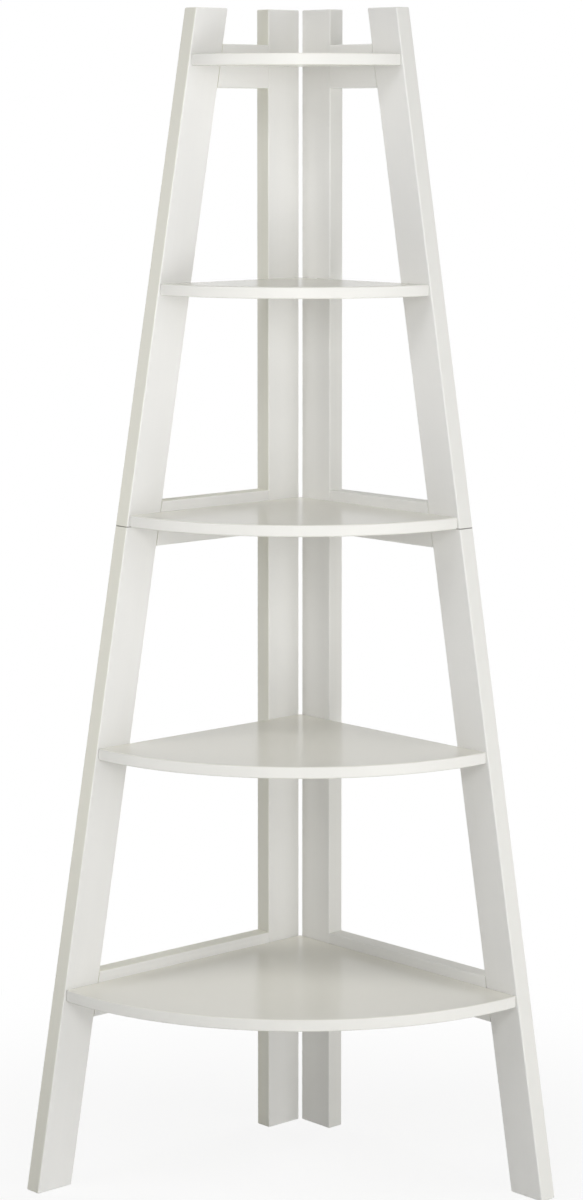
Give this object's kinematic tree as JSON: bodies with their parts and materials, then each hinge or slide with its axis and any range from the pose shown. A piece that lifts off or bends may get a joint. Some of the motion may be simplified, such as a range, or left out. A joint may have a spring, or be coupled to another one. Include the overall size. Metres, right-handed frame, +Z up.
{
  "type": "corner ladder shelf",
  "caption": "White corner ladder shelf: leaning side frames stand square to each other and carry quarter-round shelves that get smaller towards the top.",
  "frame": {"origin": "on the floor, under the middle of the square footprint", "axes": "+Z up; the room corner is at -X +Y, the left frame is on the -X wall, the right frame is on the +Y wall, and the open front faces +X -Y"},
  "size_m": [0.5046, 0.5046, 1.6],
  "materials": {
    "frame_paint": "satin white paint on solid wood",
    "shelf_paint": "satin white paint on board",
    "dowel_wood": "plain beech",
    "fastener_steel": "bright zinc plate"
  },
  "bodies": {
    "root": {"left_lower_post": "frame_paint", "left_upper_post": "frame_paint", "left_lower_leg": "frame_paint", "left_upper_leg": "frame_paint", "left_bottom_rail": "frame_paint", "left_middle_rail": "frame_paint", "left_top_rail": "frame_paint", "right_lower_post": "frame_paint", "right_upper_post": "frame_paint", "right_lower_leg": "frame_paint", "right_upper_leg": "frame_paint", "right_bottom_rail": "frame_paint", "right_middle_rail": "frame_paint", "right_top_rail": "frame_paint", "bottom_shelf": "shelf_paint", "second_shelf": "shelf_paint", "middle_shelf": "shelf_paint", "fourth_shelf": "shelf_paint", "top_shelf": "shelf_paint", "rail_dowels": "dowel_wood", "splice_pins": "fastener_steel", "shelf_bolts": "fastener_steel", "barrel_nuts": "fastener_steel"}
  },
  "joints": []
}
